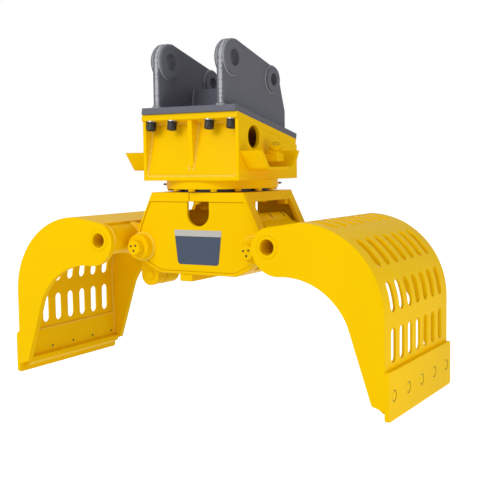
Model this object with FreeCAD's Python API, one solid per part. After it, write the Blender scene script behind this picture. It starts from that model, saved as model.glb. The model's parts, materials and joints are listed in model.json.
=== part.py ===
import FreeCAD, Part
import math
import os

V = FreeCAD.Vector

# Sorting grapple with a slewing head, millimetres.
# X is the opening direction of the shells, Y runs along the pivot pins, Z is up.
# The origin lies on the slew axis, level with the tips of the cutting edges.
# The shells are drawn fully open.

# Driving sizes

# shells
shell_width = 650.0
cheek_thickness = 25.0
back_plate_thickness = 9.0
crest_rise = 91.0              # top of the curved back above the torsion pipe
back_reach = 831.0             # outer face of the back plate from the slew axis
back_radius = 321.0            # outer radius of the curved back
slot_count = 7
slot_margin = 82.0             # first column of slots from the side
slot_width = 42.0
lower_plate_thickness = 16.0
lower_plate_top = 166.0
edge_height = 171.0
edge_thickness = 16.0
edge_bolt_count = 5
edge_bolt_margin = 51.0        # first bolt from the side
edge_bolt_height = 84.0
edge_bolt_diameter = 20.0
edge_bolt_head_diameter = 34.0
edge_bolt_recess = 8.0
edge_bolt_gap = 3.5            # open ring round the sunk head
edge_corner = 12.0
tube_outer_diameter = 82.0
tube_bore = 58.0
tube_proud = 3.0
torsion_pipe_diameter = 123.0
torsion_pipe_wall = 12.0

# pivots of the shells
pivot_half_distance = 260.0
pivot_height = 550.0
pivot_pin_diameter = 60.0
running_clearance = 0.05
hub_diameter = 100.0
bush_wall = 6.0
arm_half_spacing = 122.5       # middle plane of each inner arm
arm_thickness = 25.0
arm_pivot_radius = 55.0

# hydraulic cylinder between the shells
cylinder_pin_inset = 64.0      # inwards from the pivot
cylinder_pin_rise = 90.0       # above the pivot
cylinder_pin_diameter = 45.0
cylinder_boss_radius = 40.0
cylinder_bore = 80.0
barrel_wall = 10.0
rod_diameter = 50.0
cylinder_eye_width = 70.0
gland_length = 34.0
piston_length = 24.0

# tie rod that keeps the shells together
tie_arm = 126.0                # radius of both of its pins about the pivots
tie_lean = 26.6                # half the turn between the two crank directions
close_angle = 65.0
tie_rod_diameter = 34.0
tie_pin_diameter = 40.0
tie_boss_radius = 42.0
tie_eye_radius = 33.0
tie_plane = -91.0
tie_lug_thickness = 18.0
side_gap = 2.0

# lower body
body_depth = 398.0
body_top_half_width = 213.0
body_top_rise = 218.0          # above the pivots
body_top_thickness = 36.0
body_wall = 16.0
flange_depth = 49.0
body_edge_radius = 8.0
body_rim = 12.0
body_recess = 3.0              # the face lies this far inside its rim
pivot_boss_radius = 54.0
pivot_boss_proud = 6.0
pin_head_diameter = 100.0
pin_head_length = 28.0
pin_cap_diameter = 60.0
pin_cap_length = 28.0
window_width = 101.0
window_height = 98.0
window_drop = 34.0             # its upper edge below the body's top
window_offset = 8.0
belly_thickness = 10.0
cross_bar_width = 57.0
cross_bar_height = 33.0
cross_bar_offset = -56.0

# slewing ring
ring_diameter = 450.0
ring_lift = 13.0               # outer ring above the body's top
ring_height = 34.0
raceway_radius = 190.0
ring_clearance = 0.3
gear_module = 5.0
ring_teeth = 60
pinion_teeth = 12
gear_face = 30.0
ring_bolt_count = 14
ring_bolt_diameter = 16.0
outer_bolt_radius = 208.0
inner_bolt_radius = 172.0
ring_bolt_phase = -67.3

# upper housing
housing_width = 438.0
housing_depth = 470.0
housing_floor = 15.0
housing_wall = 14.0
housing_flange = 23.0
panel_recess = 52.0
panel_thickness = 12.0
rib_thickness = 20.0
hose_hole_diameter = 88.0
hose_hole_y = -121.0
hose_hole_rise = 164.0         # above the housing's floor

# adapter for the machine's arm
mount_tilt = 11.6              # the mounting face falls towards the rear
adapter_rise = 233.5           # its upper face above the housing's floor, on the slew axis
adapter_width = 428.0
adapter_length = 500.0
adapter_thickness = 25.0
ear_outer = 160.0
ear_thickness = 28.0
front_pin_bore = 65.0
rear_pin_bore = 50.0
front_pin_y = -175.0
front_pin_rise = 228.5         # above the adapter's upper face on the slew axis
rear_pin_y = 131.0
rear_pin_rise = 166.5
front_ring_diameter = 130.0
rear_ring_diameter = 104.0
ring_boss_thickness = 12.0
cross_plate_height = 130.0
cross_plate_thickness = 20.0
cross_plate_v = -16.0
adapter_bolt_diameter = 24.0
adapter_bolt_inner = 85.5
adapter_bolt_outer = 183.5
adapter_bolt_v = 217.0

# Places worked out from them

half_width = shell_width / 2
cheek_inner = half_width - cheek_thickness
arm_outer = arm_half_spacing + arm_thickness / 2
arm_inner = arm_half_spacing - arm_thickness / 2
tube_x = pivot_half_distance + 124.0
tube_z = pivot_height + 29.0
crest_height = tube_z + crest_rise
back_centre_x = back_reach - back_radius
back_centre_z = crest_height - back_radius
slot_pitch = (shell_width - 2 * slot_margin) / (slot_count - 1)
edge_bolt_pitch = (shell_width - 2 * edge_bolt_margin) / (edge_bolt_count - 1)
cylinder_pin_x = pivot_half_distance - cylinder_pin_inset
cylinder_pin_z = pivot_height + cylinder_pin_rise
body_face = body_depth / 2
body_top_height = pivot_height + body_top_rise
window_top = body_top_height - window_drop
window_bottom = window_top - window_height
ring_bottom = body_top_height + ring_lift
ring_top = ring_bottom + ring_height
body_top_underside = body_top_height - body_top_thickness
boss_face = body_face + pivot_boss_proud
flange_inner = body_face - flange_depth
mid_stroke = close_angle / 2
low_crank = math.radians(tie_lean - 90.0 - mid_stroke)
high_crank = math.radians(tie_lean + 90.0 + mid_stroke)
tie_low_x = -pivot_half_distance + tie_arm * math.cos(low_crank)
tie_low_z = pivot_height + tie_arm * math.sin(low_crank)
tie_high_x = pivot_half_distance + tie_arm * math.cos(high_crank)
tie_high_z = pivot_height + tie_arm * math.sin(high_crank)
housing_bottom = ring_top
hose_hole_z = housing_bottom + hose_hole_rise
adapter_axis_height = housing_bottom + adapter_rise
front_pin_z = adapter_axis_height + front_pin_rise
rear_pin_z = adapter_axis_height + rear_pin_rise
gear_distance = gear_module * (ring_teeth - pinion_teeth) / 2
tilt = math.radians(mount_tilt)
parts = {}


# Helpers

def box(x0, x1, y0, y1, z0, z1):
    return Part.makeBox(x1 - x0, y1 - y0, z1 - z0, V(x0, y0, z0))


def rod_y(x, z, radius, y0, y1):
    return Part.makeCylinder(radius, y1 - y0, V(x, y0, z), V(0, 1, 0))


def tube_y(x, z, outer, inner, y0, y1):
    return rod_y(x, z, outer, y0, y1).cut(rod_y(x, z, inner, y0 - 1, y1 + 1))


def rod_x(y, z, radius, x0, x1):
    return Part.makeCylinder(radius, x1 - x0, V(x0, y, z), V(1, 0, 0))


def rod_z(x, y, radius, z0, z1):
    return Part.makeCylinder(radius, z1 - z0, V(x, y, z0), V(0, 0, 1))


def outline(steps, place):
    """Closed wire through the steps: a step is (a, b) for a line or
    ((a, b), (a, b)) for an arc by its middle and end."""
    edges = []
    at = place(*steps[0])
    for step in steps[1:] + [steps[0]]:
        if isinstance(step[0], tuple):
            middle, end = place(*step[0]), place(*step[1])
            edges.append(Part.Arc(at, middle, end).toShape())
        else:
            end = place(*step)
            if end.distanceToPoint(at) > 1e-6:
                edges.append(Part.makeLine(at, end))
        at = end
    return Part.Wire(edges)


def plate_y(steps, y0, y1):
    """Plate with its outline in the XZ plane and its thickness along Y."""
    face = Part.Face(outline(steps, lambda a, b: V(a, y0, b)))
    return face.extrude(V(0, y1 - y0, 0))


def plate_x(steps, x0, x1):
    """Plate with its outline in the YZ plane and its thickness along X."""
    face = Part.Face(outline(steps, lambda a, b: V(x0, a, b)))
    return face.extrude(V(x1 - x0, 0, 0))


def plate_z(steps, z0, z1):
    face = Part.Face(outline(steps, lambda a, b: V(a, b, z0)))
    return face.extrude(V(0, 0, z1 - z0))


def hull_of_circles(first, second, y0, y1):
    """Link plate round two circles (x, z, radius)."""
    x0, z0, r0 = first
    x1, z1, r1 = second
    length = math.hypot(x1 - x0, z1 - z0)
    along = math.atan2(z1 - z0, x1 - x0)
    spread = math.acos((r0 - r1) / length)
    corners = [(x0 + r0 * math.cos(along + spread), z0 + r0 * math.sin(along + spread)),
               (x0 + r0 * math.cos(along - spread), z0 + r0 * math.sin(along - spread)),
               (x1 + r1 * math.cos(along - spread), z1 + r1 * math.sin(along - spread)),
               (x1 + r1 * math.cos(along + spread), z1 + r1 * math.sin(along + spread))]
    web = plate_y(corners, y0, y1)
    return web.fuse([rod_y(x0, z0, r0, y0, y1), rod_y(x1, z1, r1, y0, y1)]).removeSplitter()


def hexagon(across_flats, z0, z1):
    radius = across_flats / math.sqrt(3)
    return plate_z([(radius * math.cos(math.radians(60 * i)), radius * math.sin(math.radians(60 * i)))
                    for i in range(6)], z0, z1)


def mirrored(shape):
    """The same piece on the other side of the slew axis."""
    return shape.mirror(V(0, 0, 0), V(1, 0, 0))


def mirrored_y(shape):
    return shape.mirror(V(0, 0, 0), V(0, 1, 0))


def on_mount(shape):
    """From the flat frame of the mounting face, w = 0 at the adapter's upper face,
    to its tilted place."""
    turned = shape.copy()
    turned.rotate(V(0, 0, 0), V(1, 0, 0), -mount_tilt)
    turned.translate(V(0, 0, adapter_axis_height))
    return turned


def mount_z(y, w):
    """Height of the tilted plane at depth y, w above the adapter's upper face."""
    return adapter_axis_height - y * math.tan(tilt) + w / math.cos(tilt)


def placed(shape, direction, at):
    """Turn a shape drawn along +Z to the direction and move it to the point."""
    moved = shape.copy()
    moved.Placement = FreeCAD.Placement(V(*at), FreeCAD.Rotation(V(0, 0, 1), V(*direction)))
    return moved


def around(shape, count, phase=0.0):
    copies = []
    for i in range(count):
        copy = shape.copy()
        copy.rotate(V(0, 0, 0), V(0, 0, 1), phase + 360.0 * i / count)
        copies.append(copy)
    return copies


def circular(edge, radius):
    return isinstance(edge.Curve, Part.Circle) and abs(edge.Curve.Radius - radius) < 0.01


def group(shapes):
    return Part.makeCompound(shapes)


def keep(name, shape):
    parts[name] = shape

# Adapter: plate, two ears with welded ring bosses, cross plate

def adapter_hole_places():
    return [(side * x, end * adapter_bolt_v) for side in (-1, 1) for end in (-1, 1)
            for x in (adapter_bolt_inner, adapter_bolt_outer)]


plate = box(-adapter_width / 2, adapter_width / 2, -adapter_length / 2, adapter_length / 2,
            -adapter_thickness, 0)
for x, v in adapter_hole_places():
    plate = plate.cut(rod_z(x, v, adapter_bolt_diameter / 2, -adapter_thickness - 1, 1))
keep("adapter_plate", on_mount(plate))

ear_front = -adapter_length / 2 * math.cos(tilt) + 4
ear_rear = adapter_length / 2 * math.cos(tilt) - 2
ear_head = front_ring_diameter / 2 + 7
head_y = ear_front + ear_head
rear_head = rear_ring_diameter / 2 + 4
rear_head_y = rear_pin_y + 10
ear_steps = [
    (ear_front, mount_z(ear_front, 0)), (ear_front, front_pin_z),
    ((head_y - ear_head * 0.7071, front_pin_z + ear_head * 0.7071), (head_y, front_pin_z + ear_head)),
    (head_y + 22, front_pin_z + ear_head),
    (rear_head_y - 12, rear_pin_z + rear_head),
    ((rear_head_y + rear_head * 0.7071, rear_pin_z + rear_head * 0.7071),
     (rear_head_y + rear_head, rear_pin_z)),
    (ear_rear, rear_pin_z - 123), (ear_rear, mount_z(ear_rear, 0))]
ear = plate_x(ear_steps, ear_outer - ear_thickness, ear_outer)
ear = ear.cut(rod_x(front_pin_y, front_pin_z, front_pin_bore / 2, 0, ear_outer + 1))
ear = ear.cut(rod_x(rear_pin_y, rear_pin_z, rear_pin_bore / 2, 0, ear_outer + 1))
keep("adapter_ear_right", ear)
keep("adapter_ear_left", mirrored(ear))

rings = []
for y, z, outside, bore in ((front_pin_y, front_pin_z, front_ring_diameter, front_pin_bore),
                            (rear_pin_y, rear_pin_z, rear_ring_diameter, rear_pin_bore)):
    for x in (ear_outer, ear_outer - ear_thickness - ring_boss_thickness):
        ring = rod_x(y, z, outside / 2, x, x + ring_boss_thickness)
        ring = ring.cut(rod_x(y, z, bore / 2, x - 1, x + ring_boss_thickness + 1))
        far_x = x + ring_boss_thickness if x > ear_outer - 1 else x
        far_rim = [e for e in ring.Edges
                   if circular(e, outside / 2) and abs(e.CenterOfMass.x - far_x) < 0.01]
        ring = ring.makeChamfer(2.0, far_rim)
        rings += [ring, mirrored(ring)]
keep("adapter_ear_rings", group(rings))

cross = box(-ear_outer + ear_thickness, ear_outer - ear_thickness,
            cross_plate_v - cross_plate_thickness / 2, cross_plate_v + cross_plate_thickness / 2,
            0, cross_plate_height)
keep("adapter_cross_plate", on_mount(cross))

# Bolts of the adapter: cap screws from below, screwed into the tapped holes of the adapter plate
flange_under = -adapter_thickness - housing_flange
thread_end = -3.0
washer_height = 4.0
cap_head_radius = 18.5
cap_head_height = 31.0
bolts = []
for x, v in adapter_hole_places():
    head_top = flange_under - washer_height
    bolt = rod_z(0, 0, adapter_bolt_diameter / 2, head_top, thread_end)
    head = rod_z(0, 0, cap_head_radius, head_top - cap_head_height, head_top)
    washer = rod_z(0, 0, cap_head_radius + 3, head_top, flange_under)
    bolt = bolt.fuse([head, washer]).removeSplitter()
    bolt.translate(V(x, v, 0))
    bolts.append(on_mount(bolt))
keep("adapter_bolts", group(bolts))


# Upper housing: tilted flange, sides, recessed end panels with a rib, floor

hw, hd = housing_width / 2, housing_depth / 2
flange_top = -adapter_thickness
flange = box(-hw, hw, -hd / math.cos(tilt), hd / math.cos(tilt), flange_under, flange_top)
for x, v in adapter_hole_places():
    flange = flange.cut(rod_z(x, v, adapter_bolt_diameter / 2 + 1.0, flange_under - 1, flange_top + 1))
keep("housing_top_flange", on_mount(flange))

floor_top = housing_bottom + housing_floor
side_steps = [(-hd, floor_top), (hd, floor_top), (hd, mount_z(hd, flange_under)),
              (-hd, mount_z(-hd, flange_under))]
side = plate_x(side_steps, hw - housing_wall, hw)
side = side.cut(rod_x(hose_hole_y, hose_hole_z, hose_hole_diameter / 2, hw - housing_wall - 1, hw + 1))
keep("housing_side_right", side)
keep("housing_side_left", mirrored(side))

floor = box(-hw, hw, -hd, hd, housing_bottom, floor_top)
centre_hole = 60.0
motor_y = gear_distance
floor = floor.cut(rod_z(0, 0, centre_hole, housing_bottom - 1, floor_top + 1))
floor = floor.cut(rod_z(0, motor_y, 38.0, housing_bottom - 1, floor_top + 1))

# distance of each panel's foot and top from the housing's end, front (-1) and rear (1);
# the rear one stands further in, clear of the nuts under the tilted flange
panel_foot = {-1: 6.0, 1: 40.0}
panel_top = {-1: panel_recess, 1: panel_recess + 32.0}


def end_panel(sign):
    """Slanted panel: flush with the floor's edge below, recessed under the flange."""
    foot, top = sign * (hd - panel_foot[sign]), sign * (hd - panel_top[sign])
    inward = -sign * panel_thickness
    z_top = mount_z(top, flange_under)
    z_back = mount_z(top + inward, flange_under)
    return plate_x([(foot, floor_top), (foot + inward, floor_top), (top + inward, z_back), (top, z_top)],
                   -hw + housing_wall, hw - housing_wall)


def end_rib(sign):
    foot, top, edge = sign * (hd - panel_foot[sign]), sign * (hd - panel_top[sign]), sign * hd
    z_top = mount_z(top, flange_under)
    share = 0.82
    low_y = top + (foot - top) * share
    low_z = z_top + (floor_top - z_top) * share
    nose = low_y + sign * 4.0
    return plate_x([(low_y, low_z), (top, z_top), (edge - sign * 2, mount_z(edge - sign * 2, flange_under)),
                    (edge - sign * 2, mount_z(edge - sign * 2, flange_under) - 14), (nose, low_z)],
                   -rib_thickness / 2, rib_thickness / 2)


keep("housing_front_panel", end_panel(-1).fuse(end_rib(-1)).removeSplitter())
keep("housing_rear_panel", end_panel(1).fuse(end_rib(1)).removeSplitter())
keep("housing_floor_plate", floor)

# Guards under the hydraulic ports: a trough bent from one plate, open outwards, with a leg in front,
# a bottom and a leg behind
guard_reach = 94.0
guard_plate = 10.0
guard_bend = 24.0
guard_top, guard_bottom = housing_bottom + 111.0, housing_bottom + 39.0
guard_front, guard_front_foot = -230.0, -172.0
guard_rear, guard_rear_foot = 76.0, 30.0


def guard():
    def section(inset, top):
        front_lean = (guard_front_foot - guard_front) / (guard_top - guard_bottom)
        rear_lean = (guard_rear - guard_rear_foot) / (guard_top - guard_bottom)
        front_in = inset * math.hypot(1, front_lean)
        rear_in = inset * math.hypot(1, rear_lean)
        rise = top - guard_bottom
        low = guard_bottom + inset
        return [(guard_front_foot + front_in - rise * front_lean, top),
                (guard_front_foot + front_in - inset * front_lean, low),
                (guard_rear_foot - rear_in + inset * rear_lean, low),
                (guard_rear_foot - rear_in + rise * rear_lean, top)]

    def trough(inset, top, x0, x1, radius):
        solid = plate_x(section(inset, top), x0, x1)
        bends = [e for e in solid.Edges
                 if e.BoundBox.XLength > 1 and e.CenterOfMass.z < guard_bottom + inset + 1]
        return solid.makeFillet(radius, bends)

    outside = trough(0.0, guard_top, hw, hw + guard_reach, guard_bend)
    inside = trough(guard_plate, guard_top + 1, hw - 1, hw + guard_reach + 1, guard_bend - guard_plate)
    return outside.cut(inside)


keep("port_guards", group([guard(), mirrored(guard())]))

# Hydraulic ports on both sides: block on the wall, hexagon nut and plug pointing up and outwards
port_block = (60.0, 56.0, 30.0)
port_y, port_z = -22.0, housing_bottom + 85.0
port_direction = (0.35, -0.35, 0.87)
blocks, plugs = [], []
block = box(hw, hw + port_block[0], port_y - port_block[1] / 2, port_y + port_block[1] / 2,
            port_z - port_block[2] / 2, port_z + port_block[2] / 2)
neck = placed(rod_z(0, 0, 15.0, 0, 24.0), port_direction, (hw + 32.0, port_y, port_z))
block = block.fuse(neck).removeSplitter()
plug = hexagon(46.0, 24.0, 38.0).fuse([rod_z(0, 0, 17.0, 38.0, 44.0), hexagon(41.0, 44.0, 60.0)])
plug = placed(plug.removeSplitter(), port_direction, (hw + 32.0, port_y, port_z))
keep("port_fittings", group([block, mirrored(block), plug, mirrored(plug)]))


# Slewing ring: outer ring on the housing, toothed inner ring on the lower body

ring_r = ring_diameter / 2
race_z = (ring_bottom + ring_top) / 2
ball_radius = 9.0


def ring_section(inside, outside, z0, z1):
    ring = rod_z(0, 0, outside, z0, z1).cut(rod_z(0, 0, inside, z0 - 1, z1 + 1))
    groove = Part.makeTorus(raceway_radius, ball_radius + ring_clearance, V(0, 0, race_z), V(0, 0, 1))
    return ring.cut(groove)


outer_ring = ring_section(raceway_radius + ring_clearance, ring_r, ring_bottom, ring_top)
outer_hole = rod_z(outer_bolt_radius, 0, ring_bolt_diameter / 2, ring_bottom - 1, ring_top + 1)
outer_ring = outer_ring.cut(around(outer_hole, ring_bolt_count, ring_bolt_phase))
floor_bolts = around(rod_z(outer_bolt_radius, 0, ring_bolt_diameter / 2, housing_bottom - 1, floor_top + 1),
                     ring_bolt_count, ring_bolt_phase)
parts["housing_floor_plate"] = floor.cut(floor_bolts)

ring_bolt_head = 9.0
bolt = rod_z(0, 0, ring_bolt_diameter / 2, ring_bottom, floor_top).fuse(
    hexagon(24.0, ring_bottom - ring_bolt_head, ring_bottom)).removeSplitter()
bolt.translate(V(outer_bolt_radius, 0, 0))
keep("slew_ring_upper_bolts", group(around(bolt, ring_bolt_count, ring_bolt_phase)))

# Internal gear: straight-flanked teeth with clearance to the pinion
pitch_r = gear_module * ring_teeth / 2
gear_top = ring_bottom + gear_face - 4
tooth_top = pitch_r - 0.9 * gear_module
tooth_root = pitch_r + 1.15 * gear_module
quarter = 2 * math.pi / ring_teeth / 4


def tooth_ring(root, tip, half_root, half_tip, count, z0, z1, phase=0.0):
    """Outline of a toothed disc: one trapezoid tooth per step, root circle between."""
    points = []
    for i in range(count):
        mid = phase + 2 * math.pi * i / count
        for radius, turn in ((root, -half_root), (tip, -half_tip), (tip, half_tip), (root, half_root)):
            points.append((radius * math.cos(mid + turn), radius * math.sin(mid + turn)))
    return plate_z(points, z0, z1)


backlash = 0.6
slope = math.tan(math.radians(20))
ring_half_tip = (quarter * pitch_r - backlash - (pitch_r - tooth_top) * slope) / tooth_top
ring_half_root = (quarter * pitch_r - backlash + (tooth_root - pitch_r) * slope) / tooth_root
gear_hole = tooth_ring(tooth_root, tooth_top, ring_half_root, ring_half_tip, ring_teeth,
                       body_top_height - 1, gear_top + 1)
inner_ring = rod_z(0, 0, raceway_radius - ring_clearance, body_top_height, gear_top).cut(gear_hole)
groove = Part.makeTorus(raceway_radius, ball_radius + ring_clearance, V(0, 0, race_z), V(0, 0, 1))
inner_ring = inner_ring.cut(groove)
inner_ring = inner_ring.cut(around(rod_z(inner_bolt_radius, 0, ring_bolt_diameter / 2, body_top_height - 1,
                                         body_top_height + 26), ring_bolt_count, ring_bolt_phase))
keep("slew_inner_gear_ring", inner_ring)

pinion_pitch_r = gear_module * pinion_teeth / 2
pinion_tip = pinion_pitch_r + 0.85 * gear_module
pinion_root = pinion_pitch_r - 1.2 * gear_module
pinion_quarter = 2 * math.pi / pinion_teeth / 4
pinion_half_pitch = pinion_quarter * pinion_pitch_r - backlash
pinion_half_tip = (pinion_half_pitch - (pinion_tip - pinion_pitch_r) * slope * 1.5) / pinion_tip
pinion_half_root = (pinion_half_pitch + (pinion_pitch_r - pinion_root) * slope) / pinion_root
pinion_bottom = body_top_height + 4
pinion = tooth_ring(pinion_root, pinion_tip, pinion_half_root, pinion_half_tip, pinion_teeth,
                    pinion_bottom, gear_top, math.pi / 2 + math.pi / pinion_teeth)
pinion.translate(V(0, gear_distance, 0))
shaft_radius = 14.0
shaft_top = floor_top + 20
pinion = pinion.fuse(rod_z(0, gear_distance, shaft_radius, gear_top, shaft_top)).removeSplitter()
keep("slew_pinion", pinion)

# Hydraulic slew motor on the housing floor, over the pinion
motor_flange = rod_z(0, motor_y, 48.0, floor_top, floor_top + 12)
motor_body = box(-35, 35, motor_y - 35, motor_y + 35, floor_top + 12, floor_top + 52)
motor_cap = rod_z(0, motor_y, 28.0, floor_top + 52, floor_top + 84)
motor = motor_flange.fuse([motor_body, motor_cap]).removeSplitter()
motor = motor.cut(rod_z(0, motor_y, shaft_radius + running_clearance, floor_top - 1, shaft_top + 1))
keep("slew_motor", motor)

# Rotary feed-through for the cylinder's oil: the sleeve hangs in the housing, the core turns with the body
feed_radius = 52.0
core_radius = 34.0
sleeve = rod_z(0, 0, feed_radius, floor_top + 0.0, floor_top + 80).fuse(
    rod_z(0, 0, centre_hole + 8, floor_top, floor_top + 10)).removeSplitter()
sleeve = sleeve.cut(rod_z(0, 0, core_radius + running_clearance, floor_top - 1, floor_top + 70))
keep("rotary_feed_sleeve", sleeve)
core = rod_z(0, 0, core_radius, body_top_height, floor_top + 69.5).fuse(
    rod_z(0, 0, centre_hole, body_top_height, body_top_height + 3.5)).removeSplitter()
core = core.fuse(rod_z(0, 0, 46.0, body_top_underside - 6, body_top_height)).removeSplitter()
keep("rotary_feed_core", core)

nipple = rod_x(0, race_z, 4.0, ring_r - 6, ring_r + 5).fuse(rod_x(0, race_z, 2.8, ring_r + 5, ring_r + 9))
nipples = []
for turn in (30.0, 210.0):
    piece = nipple.removeSplitter()
    piece.rotate(V(0, 0, 0), V(0, 0, 1), turn)
    nipples.append(piece)
keep("slew_outer_ring", outer_ring.fuse(nipples).removeSplitter())


# Lower body: thick top plate, two dished end plates, belly plate and cross bar

px, pz = pivot_half_distance, pivot_height
bt = body_top_half_width
top_flare = body_top_thickness * (px + 18.0 - bt) / (body_top_height - pz - 82.0)
top_plate = plate_y([(-bt, body_top_height), (bt, body_top_height), (bt + top_flare, body_top_underside),
                     (-bt - top_flare, body_top_underside)], -body_face + body_wall, body_face - body_wall)
top_plate = top_plate.cut(rod_z(0, 0, 46.0, body_top_underside - 1, body_top_height + 1))
top_plate = top_plate.cut(around(rod_z(inner_bolt_radius, 0, ring_bolt_diameter / 2, body_top_underside - 1,
                                       body_top_height + 1), ring_bolt_count, ring_bolt_phase))

bolt = rod_z(0, 0, ring_bolt_diameter / 2, body_top_underside, body_top_height + 26).fuse(
    hexagon(24.0, body_top_underside - 10, body_top_underside)).removeSplitter()
bolt.translate(V(inner_bolt_radius, 0, 0))
keep("slew_ring_lower_bolts", group(around(bolt, ring_bolt_count, ring_bolt_phase)))

body_corner_x = px + 18.0
body_corner_z = pz + 82.0
belly_x, belly_z = px - 87.0, pz - 104.0
belly_corner_x, belly_corner_z = px - 31.0, pz - 80.0
foot_x, foot_z = px + 3.0, pz - 56.0


def body_plate_steps(inset):
    """Half-outline of an end plate mirrored about X = 0; inset moves it inwards."""
    right = [(bt - inset, body_top_height), (body_corner_x - inset * 1.05, body_corner_z),
             (px + 40 - inset * 1.1, pz + 10), (foot_x - inset * 1.1, foot_z + inset * 0.6),
             (belly_corner_x - inset * 0.5, belly_corner_z + inset),
             (belly_x - inset * 0.3, belly_z + inset)]
    left = [(-x, z) for x, z in reversed(right)]
    return right + left


def body_end_plate():
    plate = plate_y(body_plate_steps(0), -body_face, -flange_inner)
    rim = [e for e in plate.Edges if abs(e.BoundBox.YMin + body_face) < 0.01
           and abs(e.BoundBox.YMax + body_face) < 0.01 and e.CenterOfMass.z < body_top_height - 1]
    plate = plate.makeFillet(body_edge_radius, rim)
    hollow = plate_y(body_plate_steps(body_wall), -body_face + body_wall, -flange_inner + 1)
    roof = box(-bt + body_wall, bt - body_wall, -body_face + body_wall, -flange_inner + 1,
               body_top_height - body_wall - 1, body_top_height + 1)
    face = plate_y(body_plate_steps(body_rim), -body_face - 1, -body_face + body_recess).cut(
        box(-px, px, -body_face - 2, 0, body_top_underside, body_top_height + 1))
    plate = plate.cut([hollow, roof, face])
    for side in (-1, 1):
        plate = plate.cut(rod_y(side * px, pz, pivot_boss_radius, -body_face - 1, -flange_inner + 1))
    r = window_width / 2
    wx, wz = window_offset, window_bottom + r
    window = plate_y([(wx - r, window_top), (wx - r, wz), ((wx, wz - r), (wx + r, wz)),
                      (wx + r, window_top)], -body_face - 1, -flange_inner + 1)
    return plate.cut(window)


boss = tube_y(px, pz, pivot_boss_radius, pivot_pin_diameter / 2, -boss_face, -flange_inner + 6)
boss = boss.makeChamfer(3.0, [e for e in boss.Edges if circular(e, pivot_boss_radius)
                              and abs(e.CenterOfMass.y + boss_face) < 0.01])
end_plate = body_end_plate().fuse([boss, mirrored(boss)]).removeSplitter()
keep("body_front_plate", end_plate)
keep("body_rear_plate", mirrored_y(end_plate))

belly = plate_y([(cross_bar_offset, belly_z), (belly_x, belly_z), (belly_corner_x, belly_corner_z),
                 (belly_corner_x - 4, belly_corner_z + belly_thickness),
                 (belly_x - 2, belly_z + belly_thickness), (cross_bar_offset, belly_z + belly_thickness)],
                -flange_inner, flange_inner)
bar_left = cross_bar_offset - cross_bar_width / 2
bar_bottom = belly_z - cross_bar_height + 4
bar = box(bar_left, bar_left + cross_bar_width, -body_face + 8, body_face - 8, bar_bottom, belly_z)
bar = bar.makeChamfer(3.0, [e for e in bar.Edges if abs(e.CenterOfMass.z - bar_bottom) < 0.01])
keep("body_belly_plate", belly.fuse(bar).removeSplitter())

block = box(bt - 24, bt + 10, -flange_inner + 2, -flange_inner + 30,
            body_top_underside - 20, body_top_underside)
blocks = [block, mirrored(block), mirrored_y(block), mirrored(mirrored_y(block))]
top_plate = top_plate.fuse(blocks).removeSplitter().cut([end_plate, mirrored_y(end_plate)])
keep("body_top_plate", top_plate)

# Pivot pins with their heads and bolted caps
pin = rod_y(px, pz, pivot_pin_diameter / 2, -boss_face, boss_face)
keep("pivot_pins", group([pin, mirrored(pin)]))
head = rod_y(px, pz, pin_head_diameter / 2, -boss_face - pin_head_length, -boss_face)
head = head.makeFillet(4.0, [e for e in head.Edges if circular(e, pin_head_diameter / 2)
                             and abs(e.CenterOfMass.y + boss_face + pin_head_length) < 0.01])
cap_face = -boss_face - pin_head_length - pin_cap_length
cap = rod_y(px, pz, pin_cap_diameter / 2, cap_face, -boss_face - pin_head_length)
cap = cap.makeChamfer(2.5, [e for e in cap.Edges if circular(e, pin_cap_diameter / 2)
                            and abs(e.CenterOfMass.y - cap_face) < 0.01])
cap_notches = 10
notch = rod_y(pin_cap_diameter / 2 + 1.5, 0, 4.0, cap_face - 1, cap_face + 9)
notches = []
for i in range(cap_notches):
    turned = notch.copy()
    turned.rotate(V(0, 0, 0), V(0, 1, 0), 360.0 * i / cap_notches)
    turned.translate(V(px, 0, pz))
    notches.append(turned)
head = head.fuse(cap.cut(notches)).removeSplitter()
keep("pivot_pin_heads", group([head, mirrored(head), mirrored_y(head), mirrored(mirrored_y(head))]))

# Shells, drawn on the right and mirrored

bx, bz, br = back_centre_x, back_centre_z, back_radius
head_r = 72.0
root_half = math.sqrt(0.5)
lip_x, lip_z = back_reach - 47.0, 50.0
cheek_foot = 36.0
throat = (back_reach - 136.0, tube_z - 260.0)
cheek_steps = [
    (back_reach, cheek_foot), (back_reach, bz),
    ((bx + br * root_half, bz + br * root_half), (bx, bz + br)),
    (tube_x - 6, tube_z + head_r - 2),
    ((tube_x - 55, tube_z + 33), (tube_x - 63, tube_z - 26)),
    ((tube_x - 32, tube_z - 77), (tube_x + 56, tube_z - 104.5)),
    ((tube_x + 214, tube_z - 147), throat),
    (lip_x, lip_z)]


def right_cheek():
    cheek = plate_y(cheek_steps, -half_width, -cheek_inner)
    cheek = cheek.cut(rod_y(tube_x, tube_z, tube_outer_diameter / 2, -half_width - 1, -cheek_inner + 1))
    return cheek


cheek = right_cheek()
keep("right_shell_front_cheek", cheek)
keep("right_shell_rear_cheek", mirrored_y(cheek))
keep("left_shell_front_cheek", mirrored(cheek))
keep("left_shell_rear_cheek", mirrored(mirrored_y(cheek)))

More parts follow.
